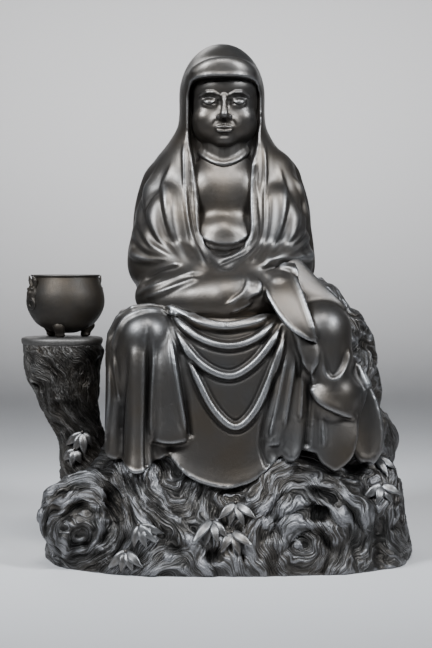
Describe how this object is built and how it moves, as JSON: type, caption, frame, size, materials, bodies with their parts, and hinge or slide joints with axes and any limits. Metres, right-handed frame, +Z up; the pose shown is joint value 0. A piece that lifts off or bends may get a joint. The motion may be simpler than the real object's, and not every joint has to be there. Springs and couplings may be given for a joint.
{
  "type": "seated monk statue with incense bowl",
  "caption": "Bronze hooded monk seated on gnarled rock with bamboo leaves, beside a stump that carries a footed incense bowl.",
  "frame": {"origin": "middle of the object's box on the ground under the rock", "axes": "+Z up, -Y towards the front that the monk faces, +X to the viewer's right"},
  "size_m": [0.3858, 0.2558, 0.509],
  "materials": {
    "robe_bronze": "dark brown patinated bronze, smooth and waxed, paler on the ridges",
    "rock_bronze": "dark grey-brown patinated bronze, rough bark-like casting",
    "bowl_bronze": "brown patinated bronze, satin"
  },
  "bodies": {
    "root": {"seated_monk": "robe_bronze", "rock_base": "rock_bronze", "incense_bowl": "bowl_bronze"}
  },
  "joints": []
}
